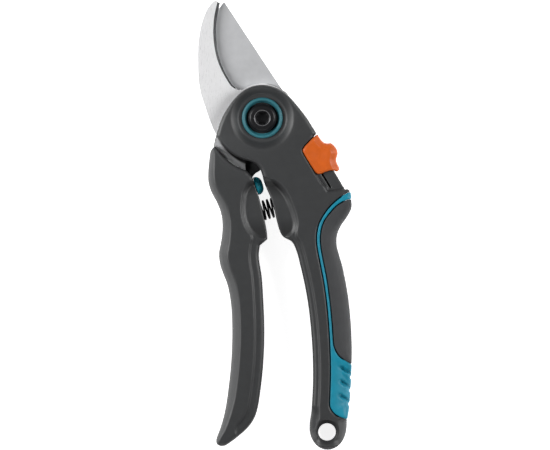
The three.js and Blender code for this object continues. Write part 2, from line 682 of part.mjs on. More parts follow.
add("fixed_handle", fixedHandle(), MATERIALS.body);
add("soft_grip", softGrip(), MATERIALS.softGrip);
add("soft_trim", softTrim(), MATERIALS.trim);
add("counter_blade", counterBlade(), MATERIALS.bright);
add("pivot_bolt", pivotBolt(), MATERIALS.black);
add("pivot_ring", pivotRing(), MATERIALS.trim);
add("pivot_bush", pivotBush(), MATERIALS.bronze);
add("thrust_washer", thrustWasher(), MATERIALS.zinc);
add("disc_spring", discSpring(), MATERIALS.zinc);
add("pivot_nut", pivotNut(), MATERIALS.black);
add("lock_detent_spring", detentSpring(), MATERIALS.zinc);
addScrews("counter_blade_screw", COUNTER_SCREWS, COUNTER_SCREW_END);

add("moving_handle", movingHandle(), MATERIALS.body);
add("cutting_blade", cuttingBlade(), MATERIALS.coated);
addScrews("cutting_blade_screw", BLADE_SCREWS, BLADE_SCREW_END);

const bumperMesh = add("bumper", bumper(), MATERIALS.trim);
bumperMesh.position.set(...BUMPER_SEAT, 0);
bumperMesh.rotation.set(0, Math.PI / 2, radians(BUMPER_TURN), "ZYX");

const springMesh = add("return_spring", returnSpring(), MATERIALS.black);
springMesh.position.set(...SPRING_CENTRE, 0);
springMesh.rotation.z = radians(SPRING_TURN);

add("lock_slide", lockSlide(), MATERIALS.slide);
add("lock_bar", lockBar(), MATERIALS.zinc);

pruner.position.z = HALF;

export default pruner;
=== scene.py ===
"""The looks of a bypass pruner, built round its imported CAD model.

Lengths are in millimetres, and heights are measured from the shear plane, where the two blades meet, until
a mesh is made. The handles and the lock slide are signed distance fields (negative inside the material)
that start from sections of the CAD solids; the blades are lofts between sections; the rest is turned or
swept.
"""

import json
import math
from functools import partial

import bmesh
import bpy
import numpy as np
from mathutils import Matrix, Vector
from mathutils.geometry import tessellate_polygon
from numpy import hypot, maximum, minimum
from numpy.linalg import norm


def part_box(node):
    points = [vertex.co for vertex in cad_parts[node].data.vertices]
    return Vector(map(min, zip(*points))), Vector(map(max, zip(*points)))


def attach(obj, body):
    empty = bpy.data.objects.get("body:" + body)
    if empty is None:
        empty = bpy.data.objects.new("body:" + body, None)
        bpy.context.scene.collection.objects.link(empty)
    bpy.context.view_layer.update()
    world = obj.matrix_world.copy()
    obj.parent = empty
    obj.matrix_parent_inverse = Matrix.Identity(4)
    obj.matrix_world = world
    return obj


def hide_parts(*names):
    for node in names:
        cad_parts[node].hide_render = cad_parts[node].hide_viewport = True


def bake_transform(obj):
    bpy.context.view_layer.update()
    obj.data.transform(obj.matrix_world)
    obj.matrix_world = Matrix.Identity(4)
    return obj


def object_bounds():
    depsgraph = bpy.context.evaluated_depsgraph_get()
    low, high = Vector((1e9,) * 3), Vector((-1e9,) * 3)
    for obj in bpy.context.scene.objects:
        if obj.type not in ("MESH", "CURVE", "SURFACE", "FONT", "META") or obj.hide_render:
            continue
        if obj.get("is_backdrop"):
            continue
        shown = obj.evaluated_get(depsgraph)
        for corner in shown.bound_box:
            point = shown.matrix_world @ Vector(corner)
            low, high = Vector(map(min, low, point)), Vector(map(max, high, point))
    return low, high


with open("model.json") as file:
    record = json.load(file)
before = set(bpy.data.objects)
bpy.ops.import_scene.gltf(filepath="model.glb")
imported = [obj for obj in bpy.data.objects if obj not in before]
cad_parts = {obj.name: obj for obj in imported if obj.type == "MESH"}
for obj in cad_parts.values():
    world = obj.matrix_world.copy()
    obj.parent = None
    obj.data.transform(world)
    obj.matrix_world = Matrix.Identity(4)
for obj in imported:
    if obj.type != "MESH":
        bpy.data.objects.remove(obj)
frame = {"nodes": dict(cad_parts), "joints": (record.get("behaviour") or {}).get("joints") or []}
cad_low, cad_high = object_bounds()

# ---------- sizes

MM = 0.001
rear, front = (corner.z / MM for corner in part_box("fixed_handle"))
SHEAR, HALF = (front + rear) / 2, (front - rear) / 2

PITCH = 0.25  # grid of the plan distances
REACH = 12.0  # plan distances are true up to this
SECTION = 7.2  # height at which the handles show their full outline
SCOOP_SECTION = 8.0  # height at which the finger scoops cut into it
SLIDE_SECTION = 9.2  # height at which the lock slide shows its outline
COUNTER_SECTION = 0.35  # heights just off the shear plane, for the blades' full outlines
CUTTER_SECTION = -0.25
CORNER = math.radians(42)  # a sharper turn than this in a section is a corner

HANDLE_STEP = 0.45  # spacing of the points on the handles
SOFT_STEP = 0.42
SMALL_STEP = 0.36

HEAD_EDGE = 1.9  # rounding of the handles' edges
SOFT_EDGE = 3.2  # rounding of the soft grip's outer edge
SOFT_CROWN = 2.8  # how far the soft mouldings fall towards the outer edge
SEAM_BODY = (0.38, 0.17)  # from a seam to the handle's body, in general and at the handle's outer edge
SEAM_SOFT = (0.12, -0.12)  # and to a soft moulding
SEAM_EDGE = 0.55
CORE_HALF = 6.2
SOFT_SKIN = 3.0
CLEARANCE = 0.3

RIDGE_STEP = 0.75  # small step down from the flat to the inner band
RIDGE_WIDTH = 1.0
BAND_DROP = 0.35
BAND_SLOPE = 5.0
SCOOP_STEP = 1.6  # depth of the scoops beside the spring
SCOOP_WIDTH = 2.6  # width of the scoops' side walls
SCOOP_BOWL = 1.5  # how much deeper they are near their ends
SCOOP_REACH = 14.0
SCOOP_END = 3.7  # length of their sloping ends
SCOOP_ROUND = 1.2  # how much less the edges are rounded there
SCOOP_TOP_Y = -50  # above this the scoops take the place of the inner bands
FIXED_BAND = 3.8  # width of the bands along the handles' inner edges
MOVING_BAND = 5.0
FIXED_INNER_Y = (-147, SCOOP_TOP_Y)  # where they run
MOVING_INNER_Y = (-150, SCOOP_TOP_Y)
PALM_Y = (-156, -17)
# Width of the sloping band on the palm's side of the moving handle, by its y.
PALM_BAND = [(-158, 0.5), (-150, 2.2), (-134, 3.6), (-104, 3.8), (-63, 4.0), (-40, 3.4), (-22, 2.4),
             (-12, 1.4)]
PALM_SLOPE = 1.25
END_BAND = 4.0  # sloping band round the end of the fixed handle, below END_BAND_Y
END_BAND_Y = -138
END_FOOT_Y = -158  # it fades out above this, at the very end
END_SLOPE = 1.25
GROOVES = [((37.0, -118.9), (43.6, -124.2)), ((36.8, -125.7), (43.2, -130.6)),
           ((36.5, -132.6), (42.7, -137.0))]
GROOVE_DEPTH = 1.9
GROOVE_WIDTH = 1.3

BOWL_R = 15.8
BOWL_FLOOR_R = 11.6
BOWL_FLOOR = 7.0
BOWL_BEND = 1.5  # how much steeper the bowl's wall is at its foot
PIVOT_STEPS = ((9.7, 6.0), (7.2, 5.5), (5.45, -1))  # radius and floor of the bores below it
RIM_EDGE = 0.35  # rounding of the rims of the bowl and the hang hole
HANG_CHAMFER = 2.4

HUB_FACE = -3.3  # front face of the moving handle's hub
HUB_BORE_R = 5.3
HUB_SEAT = (9.6, -5.2)  # radius and depth of the space for the nut, in the hub's rear
TANG_TOP = 0.15  # the cutting blade's slot ends here
COUNTER_SLOT = (-0.15, 3.5)  # heights of the counter blade's slot
REAR_FACE = 0.3  # the fixed handle's rear half starts here
POCKET_R = 5.6
POCKET_HALF = 7.2
PEG_R = 3.2
PEG_GAP = 3.6
TRACK_FACE = 8.5
TRACK_START = 30.0  # the recess under the slide runs on from here, down the track
TRACK_END = 46.8
TRACK_LEAN = 0.45  # its lower end slants down towards the handle's edge
TRACK_V = 8.0
TRACK_RAMP = 1.6  # width of its sloping sides
TRACK_EDGE = 0.3
SLIDE_TRAVEL = 6.5
SLIDE_BAND = 3.0
SLIDE_FALL = 0.75
# Corners of spaces for the hidden lock parts, down the track, out across it and in height.
LOCK_SLOTS = (
    ((14.1, -2.3, -3.2), (27.3 + SLIDE_TRAVEL, 2.3, -0.2)),  # the lock bar's arm
    ((22.2, -2.3, -3.2), (27.3 + SLIDE_TRAVEL, 18.5, -0.2)),  # its cross piece
    ((28.4, 14.7, 2.9), (37.6, 30, 7.1)),  # the detent spring's leaf
    ((33, 10.4, 5.5), (45.6, 11.2, 20)),  # and its slit
)
SADDLE = ((5, -5, -8.7), (60, 16.8, 8.7))  # the space inside the slide
BAR_SLOT = ((22.2, 10, -3.2), (27.3, 18.5, -0.2))
THUMB_DISH = (29, 14.5)  # middle of the slide's shallow dish
THUMB_DISH_R = 5
BUMPER_DOME = 3.7  # the bumper's head, from its flat back to its top
WIRE_R = 0.5
SPRING_TURNS = 6
WIRE_SIDES = 10
RIM_HIGHLIGHT_R = (3.55, 3.9)  # the painted highlight round the rim of the bolt's socket

TANG_SHADE_R = (22.9, 23.9)  # the painted shade on the tang fades out between these distances from the pivot
TANG_SHADE_Y = (2, 8)
HOLLOW_AT = (3, -43)  # middle of the two scoops
HOLLOW_R = (19.5, 16.5)  # the painted shade in the scoops fades in between these distances from it
HOLLOW_Y = (3, 12)
HOLLOW_FALL = (0.5, 2.2)  # and between these depths below the flats

CEILING = (0.75, 0.97)  # the sky brightens between these upward parts of a view's direction
SKY_STRENGTH = (0.12, 0.66)
VIEW_CENTRE = (6.1, -51.4, 19)
VIEW_WIDTH = 264
LENS, SENSOR = 1200, 36  # a long lens, because the photo shows no perspective
THROAT_AT = (-12, -16)  # the gap between the head and the moving handle
THROAT_VIEW = (-0.46, 0.44, 0.77)  # and the direction that looks down into it


def box(node):
    """Lowest and highest corner of a CAD node, in millimetres from the shear plane."""
    return [np.array(corner) / MM - (0, 0, SHEAR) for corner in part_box(node)]


def upright(node):
    """A round upright node's radius, and the heights of its ends."""
    low, high = box(node)
    return (high[0] - low[0]) / 2, low[2], high[2]


TRACK_AXIS = np.array(next(j for j in frame["joints"] if j["name"] == "lock_travel")["axis"][:2])
TRACK_ACROSS = np.array([-TRACK_AXIS[1], TRACK_AXIS[0]])

# ---------- sections of the CAD solids


def values_of(items, key, kind):
    """Three values of every item of a mesh."""
    values = np.empty(len(items) * 3, kind)
    items.foreach_get(key, values)
    return values.reshape(-1, 3)


def node_points(name):
    return values_of(frame["nodes"][name].data.vertices, "co", np.float32).astype(float) / MM - (0, 0, SHEAR)


def triangles(name):
    mesh = frame["nodes"][name].data
    mesh.calc_loop_triangles()
    return node_points(name)[values_of(mesh.loop_triangles, "vertices", np.int32)]


def crossing(a, b, z):
    """Where an edge meets a level plane. The order of its ends makes no difference."""
    low, high = (a, b) if tuple(a) < tuple(b) else (b, a)
    share = (z - low[2]) / (high[2] - low[2])
    point = low[:2] + share * (high[:2] - low[:2])
    return (round(point[0], 3), round(point[1], 3))


def section(name, z):
    """Closed loops where a level plane cuts a node, with the solid on their left, longest first."""
    follows = {}
    for corners in triangles(name):
        above = corners[:, 2] > z
        if above.all() or not above.any():
            continue
        for i in range(3):
            k = (i + 1) % 3
            if above[i] and not above[k]:
                start = crossing(corners[i], corners[k], z)
            if above[k] and not above[i]:
                end = crossing(corners[i], corners[k], z)
        if start != end:
            follows[start] = end
    loops = []
    while follows:
        first, point = follows.popitem()
        loop = [first]
        while point != first and point in follows:
            loop.append(point)
            point = follows.pop(point)
        loops.append(np.array(loop))
    return sorted(loops, key=perimeter, reverse=True)


def perimeter(loop):
    return norm(np.roll(loop, -1, 0) - loop, axis=1).sum()


def simple(loop):
    """The loop without repeated points and those on a straight line between their neighbours."""
    loop = loop[norm(loop - np.roll(loop, 1, 0), axis=1) > 0.05]
    before, after = np.roll(loop, 1, 0) - loop, np.roll(loop, -1, 0) - loop
    area = np.abs(before[:, 0] * after[:, 1] - before[:, 1] * after[:, 0])
    length = norm(after - before, axis=1)
    return loop[area > 0.004 * maximum(length, 1e-6)]


def turns(loop):
    before, after = loop - np.roll(loop, 1, 0), np.roll(loop, -1, 0) - loop
    angle = np.arctan2(after[:, 1], after[:, 0]) - np.arctan2(before[:, 1], before[:, 0])
    return (angle + math.pi) % (2 * math.pi) - math.pi


def curve(points, count):
    """Steps from the second of four points to the third, along a centripetal Catmull-Rom curve."""
    knots = np.cumsum([0] + [max(1e-4, norm(b - a)) ** 0.5 for a, b in zip(points, points[1:])])
    t = np.linspace(knots[1], knots[2], count, endpoint=False)[:, None]

    def mix(a, b, low, high):
        return (a * (high - t) + b * (t - low)) / (high - low)

    pairs = [mix(points[i], points[i + 1], knots[i], knots[i + 1]) for i in range(3)]
    left = mix(pairs[0], pairs[1], knots[0], knots[2])
    right = mix(pairs[1], pairs[2], knots[1], knots[3])
    return mix(left, right, knots[1], knots[2])


def smooth(loop, step=0.7):
    """The loop as smooth curves between its corners."""
    loop = simple(loop)
    sharp = np.abs(turns(loop)) > CORNER
    n, parts = len(loop), []
    for i in range(n):
        a, b = loop[i], loop[(i + 1) % n]
        before = 2 * a - b if sharp[i] else loop[i - 1]
        after = 2 * b - a if sharp[(i + 1) % n] else loop[(i + 2) % n]
        count = max(1, round(norm(b - a) / step))
        parts.append(curve([before, a, b, after], count))
    return np.concatenate(parts)

# ---------- distances in the plan

GRID_LOW = np.array([cad_low.x, cad_low.y]) / MM - 4
GRID_HIGH = np.array([cad_high.x, cad_high.y]) / MM + 4
GRID_X = np.arange(GRID_LOW[0], GRID_HIGH[0], PITCH)
GRID_Y = np.arange(GRID_LOW[1], GRID_HIGH[1], PITCH)
PLAN_X, PLAN_Y = GRID_X[:, None], GRID_Y[None, :]


def segments(loop):
    return list(zip(loop, np.roll(loop, -1, 0)))


def faced(loop):
    """Every segment of a loop with its outward normal."""
    for a, b in segments(loop):
        yield a, b, np.array([b[1] - a[1], a[0] - b[0]]) / max(1e-9, norm(b - a))


def along_segment(x, y, a, b):
    """Each point's nearest place on a segment, as a share of its length, and the distance from there."""
    x, y, d = x - a[0], y - a[1], b - a
    t = np.clip((x * d[0] + y * d[1]) / max(1e-9, d @ d), 0, 1)
    return t, hypot(x - t * d[0], y - t * d[1])


def distance(pieces):
    """Distance from line segments at every grid point, up to REACH."""
    out = np.full((len(GRID_X), len(GRID_Y)), REACH)
    for a, b in pieces:
        low = maximum(0, ((minimum(a, b) - REACH - GRID_LOW) / PITCH).astype(int))
        high = ((maximum(a, b) + REACH - GRID_LOW) / PITCH).astype(int) + 2
        window = out[low[0]:high[0], low[1]:high[1]]
        _, near = along_segment(PLAN_X[low[0]:high[0]], PLAN_Y[:, low[1]:high[1]], a, b)
        minimum(window, near, out=window)
    return out


def inside(loops):
    """True at the grid points inside closed loops."""
    odd = np.zeros((len(GRID_X), len(GRID_Y)), bool)
    for a, b in (s for loop in loops for s in segments(loop)):
        left, right = (a, b) if a[0] < b[0] else (b, a)
        first, last = np.searchsorted(GRID_X, [left[0], right[0]])
        for i in range(first, last):
            y = left[1] + (GRID_X[i] - left[0]) * (right[1] - left[1]) / (right[0] - left[0])
            odd[i, np.searchsorted(GRID_Y, y):] ^= True
    return odd


def signed(loops):
    d = distance([s for loop in loops for s in segments(loop)])
    return np.where(inside(loops), -d, d)


def at(grid, x, y):
    """Values of a grid between its points."""
    x, y = np.broadcast_arrays(x, y)
    u = np.clip((x - GRID_LOW[0]) / PITCH, 0, len(GRID_X) - 1.001)
    v = np.clip((y - GRID_LOW[1]) / PITCH, 0, len(GRID_Y) - 1.001)
    i, j = u.astype(int), v.astype(int)
    u, v = u - i, v - j
    near = grid[i, j] * (1 - v) + grid[i, j + 1] * v
    return near * (1 - u) + (grid[i + 1, j] * (1 - v) + grid[i + 1, j + 1] * v) * u


def carried(mask, edge):
    """A mask of the grid, carried straight on past an outline from just inside it."""
    slope_x, slope_y = np.gradient(edge, PITCH)
    back = maximum(0, edge + 0.6)
    i = np.clip(np.round((PLAN_X - back * slope_x - GRID_LOW[0]) / PITCH), 0, len(GRID_X) - 1)
    j = np.clip(np.round((PLAN_Y - back * slope_y - GRID_LOW[1]) / PITCH), 0, len(GRID_Y) - 1)
    return mask[i.astype(int), j.astype(int)]


def inner_segments(loop, outline):
    """The segments of a loop that lie well inside an outline's field."""
    return [s for s in segments(loop) if at(outline, *((s[0] + s[1]) / 2)) < -0.25]


def region(loop, edge):
    """Signed distance from the part of a loop inside an outline, carried straight on past the outline."""
    d = distance(inner_segments(loop, edge))
    return np.where(carried(inside([loop]), edge), -d, d)


def scoop_region(name, full, edge):
    """Signed distance from the rim of a handle's scoop, negative in the scoop."""
    left = smooth(section(name, SCOOP_SECTION)[0])
    d = distance(inner_segments(left, signed([full])))
    return np.where(carried(inside([full]) & ~inside([left]), edge), -d, d)


def facing(loop, direction, low, high):
    """The segments of a loop that face a direction along X, between two heights in the plan."""
    return [(a, b) for a, b, normal in faced(loop)
            if normal[0] * direction > 0.25 and low < (a[1] + b[1]) / 2 < high]

# ---------- fields


def rounded(a, b, r):
    """What two fields have in common, with the edge between them rounded."""
    return minimum(maximum(a, b), -r) + hypot(maximum(a + r, 0), maximum(b + r, 0))


def ease(t):
    t = np.clip(t, 0, 1)
    return t * t * (3 - 2 * t)


def slope(t):
    """From 0 to 1 on a straight ramp with short rounded ends."""
    return rise(t) - rise(t - 1)


def rise(t, bend=0.15):
    return np.where(t > bend, t, maximum(t + bend, 0) ** 2 / (4 * bend))


def between(value, low, high):
    """Distance from the space between two planes, negative in it."""
    return np.abs(value - (low + high) / 2) - (high - low) / 2


def block(coordinates, low, high):
    """A box between two corners."""
    parts = [between(*limits) for limits in zip(coordinates, low, high)]
    return maximum(maximum(parts[0], parts[1]), parts[2])


def in_track(x, y):
    """Distances down the lock slide's track and out across it."""
    return x * TRACK_AXIS[0] + y * TRACK_AXIS[1], -x * TRACK_AXIS[1] + y * TRACK_AXIS[0]


def along(at_point, axis, x, y, z):
    """Distance along a level axis through a point, and distance from that axis."""
    dx, dy = x - at_point[0], y - at_point[1]
    return dx * axis[0] + dy * axis[1], hypot(dy * axis[0] - dx * axis[1], z)


def level_axis(name):
    """The level axis of a round node: a point on it, its direction and the node's length along it.

    Across the axis, a round node spreads as far in the plan as it does in height.
    """
    points = node_points(name)
    spreads, directions = np.linalg.eigh(np.cov(points[:, :2].T))
    axis = directions[:, np.argmax(np.abs(spreads - points[:, 2].var()))]
    axis = axis * np.sign(axis[0])
    side = np.array([-axis[1], axis[0]])
    run, across = points[:, :2] @ axis, points[:, :2] @ side
    at_point = (run.max() + run.min()) / 2 * axis + (across.max() + across.min()) / 2 * side
    return at_point, axis, np.ptp(run)


SPRING_AT, SPRING_AXIS, SPRING_LENGTH = level_axis("return_spring")
BUMPER_AT, BUMPER_AXIS, BUMPER_LENGTH = level_axis("bumper")
BUMPER_R = (box("bumper")[1][2] - box("bumper")[0][2]) / 2


def spring_pocket(x, y, z):
    s, r = along(SPRING_AT, SPRING_AXIS, x, y, z)
    pocket = maximum(r - POCKET_R, np.abs(s) - POCKET_HALF)
    peg = rounded(r - PEG_R, PEG_GAP - np.abs(s), 0.5)
    return maximum(pocket, -peg)


def screw_holes(x, y, z, blade):
    """The holes for a blade's two screws, with recesses for their heads."""
    holes = []
    for number in (1, 2):
        node = f"{blade}_screw_{number}"
        centre, (head, low, high) = sum(box(node)) / 2, upright(node)
        r = hypot(x - centre[0], y - centre[1])
        recess = maximum(r - head - 0.25, z - low - 2.2)
        holes.append(minimum(recess, maximum(r - 1.9, z - high - 0.4)))
    return minimum(*holes)


def band_drop(depth):
    """How far an inner band falls below the flat, by distance in from its ridge."""
    ridge = RIDGE_STEP * ease(depth / RIDGE_WIDTH)
    return ridge + BAND_DROP * (1 - np.exp(-maximum(depth, 0) / BAND_SLOPE))


def scoop_drop(scoop):
    """How far a scoop falls below the flat: steeply from its side, gently from its ends."""
    rows = GRID_Y[(scoop < -1).any(0)]
    end = minimum(GRID_Y - rows[0], rows[-1] - GRID_Y)[None, :]
    deepest = SCOOP_STEP + SCOOP_BOWL * (1 - ease(end / SCOOP_REACH))
    return deepest * slope(-rounded(scoop / SCOOP_WIDTH, -end / SCOOP_END, 0.3))


def inner_drop(edge_distance, band, scoop):
    """How far the inner band and the scoop beside the spring fall below the flat."""
    return maximum(band_drop(rounded(band - edge_distance, -scoop, 2.0)), scoop_drop(scoop))

# ---------- skins


def skin(field, low, high, step):
    """Points and faces of a closed mesh on a field's surface.

    Every grid cell that the surface crosses gets one point, which is then pulled on to the surface along
    the field's slope.
    """
    axes = [np.arange(a - 1.5 * step, b + 2.5 * step, step) for a, b in zip(low, high)]
    shape = tuple(len(a) for a in axes)
    values = np.ascontiguousarray(np.broadcast_to(field(*np.ix_(*axes)), shape))
    solid = values < 0
    count = np.zeros(tuple(n - 1 for n in shape), np.int8)
    offsets = np.array(list(np.ndindex(2, 2, 2)))
    for i, j, k in offsets:
        count += solid[i:shape[0] - 1 + i, j:shape[1] - 1 + j, k:shape[2] - 1 + k]
    cells = np.argwhere((count > 0) & (count < 8))
    number = np.full(count.shape, -1)
    number[tuple(cells.T)] = np.arange(len(cells))
    corner = np.stack([values[tuple((cells + o).T)] for o in offsets], 1)
    total, hits = np.zeros((len(cells), 3)), np.zeros(len(cells))
    for a in range(8):
        for b in range(a + 1, 8):
            if np.abs(offsets[a] - offsets[b]).sum() != 1:
                continue
            cut = (corner[:, a] < 0) != (corner[:, b] < 0)
            share = np.where(cut, corner[:, a] / np.where(cut, corner[:, a] - corner[:, b], 1), 0)
            total += cut[:, None] * (offsets[a] + share[:, None] * (offsets[b] - offsets[a]))
            hits += cut
    origin = np.array([a[0] for a in axes])
    points = origin + step * (cells + total / hits[:, None])
    return settle(field, points, step), quads(solid, number)


def settle(field, points, step):
    """Points pulled on to a field's surface."""
    e = 0.05
    for _ in range(3):
        x, y, z = points.T
        value = field(x, y, z)
        slope = np.stack([field(x + e, y, z), field(x, y + e, z), field(x, y, z + e)], 1) - value[:, None]
        slope /= e
        size = maximum(0.3, (slope ** 2).sum(1))
        move = np.clip(value / size, -0.5 * step, 0.5 * step)
        points = points - move[:, None] * slope
    return points


def quads(solid, number):
    """A face round every grid edge that runs from inside to outside."""
    faces = []
    for axis in range(3):
        a, b = (axis + 1) % 3, (axis + 2) % 3
        last = solid.shape[axis] - 1
        ends = [np.take(solid, range(start, last + start), axis) for start in (0, 1)]
        edges = np.argwhere(ends[0] != ends[1])
        out = ends[0][tuple(edges.T)]
        ring = []
        for da, db in ((1, 1), (0, 1), (0, 0), (1, 0)):
            cell = edges.copy()
            cell[:, a] -= da
            cell[:, b] -= db
            ring.append(number[tuple(cell.T)])
        ring = np.stack(ring, 1)
        faces.append(np.where(out[:, None], ring, ring[:, ::-1]))
    return np.concatenate(faces)

# ---------- meshes


def placed(name, data):
    """A new object in the scene."""
    obj = bpy.data.objects.new(name, data)
    bpy.context.scene.collection.objects.link(obj)
    return obj


def piece(name, node, points, faces, body, finish, slot=None, sharp=None):
    """A finished piece in place of a node, from points in millimetres from the shear plane."""
    mesh = bpy.data.meshes.new(name)
    places = (np.asarray(points, float) + (0, 0, SHEAR)) * MM
    mesh.from_pydata(places.tolist(), [], [list(map(int, f)) for f in faces])
    bm = bmesh.new()
    bm.from_mesh(mesh)
    bmesh.ops.remove_doubles(bm, verts=bm.verts, dist=1e-7)
    if sharp is not None:
        bmesh.ops.recalc_face_normals(bm, faces=bm.faces)
    bm.to_mesh(mesh)
    bm.free()
    mesh.polygons.foreach_set("use_smooth", [True] * len(mesh.polygons))
    if sharp is not None:
        mesh.set_sharp_from_angle(angle=math.radians(sharp))
    mesh.materials.append(FINISHES[finish])
    obj = placed(name, mesh)
    if body:
        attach(obj, body)
    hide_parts(node)
    slot or finish
    return obj


def skinned(name, node, field, step, body, finish):
    """A piece on a field's surface, as large as its node."""
    points, faces = skin(field, *box(node), step)
    piece(name, node, points, faces, body, finish)


def eased(profile, radius):
    """A closed profile with its corners rounded, apart from the ones on the axis."""
    points = np.array(profile, float)
    n, out = len(points), []
    for i in range(n):
        p = points[i]
        before, after = points[i - 1] - p, points[(i + 1) % n] - p
        reach = min(radius, 0.4 * norm(before), 0.4 * norm(after))
        if abs(p[0]) < 1e-6 or reach < 1e-3:
            out.append(p)
            continue
        start = p + before / norm(before) * reach
        end = p + after / norm(after) * reach
        for t in np.linspace(0, 1, 4):
            out.append((1 - t) ** 2 * start + 2 * t * (1 - t) * p + t * t * end)
    return np.array(out)


def turned(profile, count, reach=None):
    """Points and faces turned about Z. `reach` changes a radius by its angle and height."""
    profile = np.asarray(profile, float)
    angles = np.arange(count) * 2 * math.pi / count
    points = []
    for r, z in profile:
        radii = reach(r, z, angles) if reach else r
        points.extend(np.stack([radii * np.cos(angles), radii * np.sin(angles), np.full_like(angles, z)], 1))
    faces, n, on_axis = [], len(profile), profile[:, 0] < 1e-6
    for i in range(n):
        k = (i + 1) % n
        if on_axis[i] and on_axis[k]:
            continue
        for a in range(count):
            b = (a + 1) % count
            ring = [i * count + a, i * count + b, k * count + b, k * count + a]
            if on_axis[i]:
                del ring[1]
            elif on_axis[k]:
                del ring[3]
            faces.append(ring)
    return np.array(points), faces


def wall(start, end, n):
    """Faces between the rings of n points that lie from one point's number to another's."""
    return [[low + i, low + (i + 1) % n, low + n + (i + 1) % n, low + n + i]
            for low in range(start, end - n, n) for i in range(n)]


def loft(tubes):
    """Points and faces through matching outlines at rising heights, the outer one first, then its holes."""
    points, faces, caps = [], [], ([], [])
    for levels in tubes:
        start, n = len(points), len(levels[0])
        for level in levels:
            points.extend(level)
        end = len(points)
        faces.extend(wall(start, end, n))
        caps[0].append(range(start, start + n))
        caps[1].append(range(end - n, end))
    for loops in caps:
        flat = [i for loop in loops for i in loop]
        shape = [[Vector((points[i][0], points[i][1], 0)) for i in loop] for loop in loops]
        faces.extend([flat[i] for i in face] for face in tessellate_polygon(shape))
    return np.array(points), faces


def raised(loop, z):
    return np.column_stack([loop, np.full(len(loop), z)])


def inset(loop, d):
    """A counter-clockwise loop drawn in by a small distance."""
    ahead = np.roll(loop, -1, 0) - np.roll(loop, 1, 0)
    ahead /= maximum(1e-9, norm(ahead, axis=1))[:, None]
    return loop + d * np.column_stack([-ahead[:, 1], ahead[:, 0]])


def nearest(points, loop):
    """The closest place on a loop to each point."""
    a, b = loop, np.roll(loop, -1, 0)
    d = b - a
    out = np.empty_like(points)
    for i, p in enumerate(points):
        t = np.clip(((p - a) * d).sum(1) / maximum(1e-9, (d * d).sum(1)), 0, 1)
        foot = a + t[:, None] * d
        out[i] = foot[np.argmin(((foot - p) ** 2).sum(1))]
    return out

# ---------- materials


def nodes_of(name):
    material = bpy.data.materials.new(name)
    material.use_nodes = True
    tree = material.node_tree
    return material, tree, tree.nodes["Principled BSDF"]


def feed(tree, node, inputs):
    """Sets a node's inputs to values, or links them to sockets."""
    for key, value in inputs.items():
        if isinstance(value, bpy.types.NodeSocket):
            tree.links.new(value, node.inputs[key])
        else:
            node.inputs[key].default_value = value


def add(tree, kind, inputs=None, **settings):
    """The outputs of a new shader node."""
    node = tree.nodes.new(f"ShaderNode{kind}")
    for key, value in settings.items():
        setattr(node, key, value)
    feed(tree, node, inputs or {})
    return node.outputs


def linear(colour):
    """A screen colour of 0 to 255 as the linear values that a shader takes."""
    share = [c / 255 for c in colour]
    return [c / 12.92 if c <= 0.04045 else ((c + 0.055) / 1.055) ** 2.4 for c in share] + [1]


def noise(tree, size, stretch=(1, 1, 1), turn=0.0):
    """Noise whose patches are about `size` millimetres, stretched and turned in the plan."""
    placed = add(tree, "Mapping", {
        "Vector": add(tree, "TexCoord")["Object"],
        "Rotation": (0, 0, turn),
        "Scale": [1 / (s * size * MM) for s in stretch],
    })
    return add(tree, "TexNoise", {"Vector": placed["Vector"], "Scale": 1.0, "Detail": 3.0})["Fac"]


def blended(tree, share, low, high):
    """A mix of two colours, each a value or a socket."""
    return add(tree, "Mix", {0: share, 6: low, 7: high}, data_type="RGBA")[2]


def ranged(tree, value, source, result=(0, 1), **settings):
    """A value taken from one range to another."""
    limits = dict(zip(("From Min", "From Max", "To Min", "To Max"), (*source, *result)))
    return add(tree, "MapRange", {"Value": value, **limits}, **settings)["Result"]


def spread(tree, share, low, high):
    """Noise, most of which lies from 0.3 to 0.7, spread between two values."""
    return ranged(tree, share, (0.3, 0.7), (low, high))


def bumped(tree, *layers):
    """The normal over stacked bumps, each a share and its height in millimetres."""
    below = {}
    for share, height in layers:
        bump = add(tree, "Bump", {**below, "Height": share, "Strength": 1.0, "Distance": height * MM})
        below = {"Normal": bump["Normal"]}
    return below["Normal"]


def ramp(tree, value, low, high):
    """0 at one length and 1 at another, in millimetres."""
    return ranged(tree, value, (low * MM, high * MM), interpolation_type="SMOOTHSTEP")


def combined(tree, operation, *values):
    return add(tree, "Math", dict(enumerate(values)), operation=operation)[0]


def vectors(tree, operation, *values):
    return add(tree, "VectorMath", dict(enumerate(values)), operation=operation)


def seen_from(tree, centre):
    """Level distance from a place in the plan, and the coordinates from there."""
    where = add(tree, "TexCoord")["Object"]
    moved = vectors(tree, "SUBTRACT", where, (centre[0] * MM, centre[1] * MM, 0))["Vector"]
    flat = vectors(tree, "MULTIPLY", moved, (1, 1, 0))["Vector"]
    return vectors(tree, "LENGTH", flat)["Value"], add(tree, "SeparateXYZ", {0: moved})


def painted_tang_shade(tree, tinted):
    """Painted shade darkens the blade's tang round the hub, on the side away from the tip, where the head's
    shadow falls.
    """
    away, place = seen_from(tree, (0, 0))
    unshaded = combined(tree, "MAXIMUM", ramp(tree, away, *TANG_SHADE_R), ramp(tree, place["Y"], *TANG_SHADE_Y))
    return blended(tree, unshaded, linear((48, 48, 49)), tinted)


def painted_hollow_shade(tree, tinted):
    """Painted shade makes the hollows beside the spring darker towards their upper and lower ends."""
    away, place = seen_from(tree, HOLLOW_AT)
    low = ramp(tree, place["Z"], *(SHEAR + HALF - fall for fall in HOLLOW_FALL))
    near = combined(tree, "MULTIPLY", ramp(tree, away, *HOLLOW_R), low)
    end = ramp(tree, combined(tree, "ABSOLUTE", place["Y"]), *HOLLOW_Y)
    return blended(tree, combined(tree, "MULTIPLY", near, end), tinted, linear((16, 16, 17)))


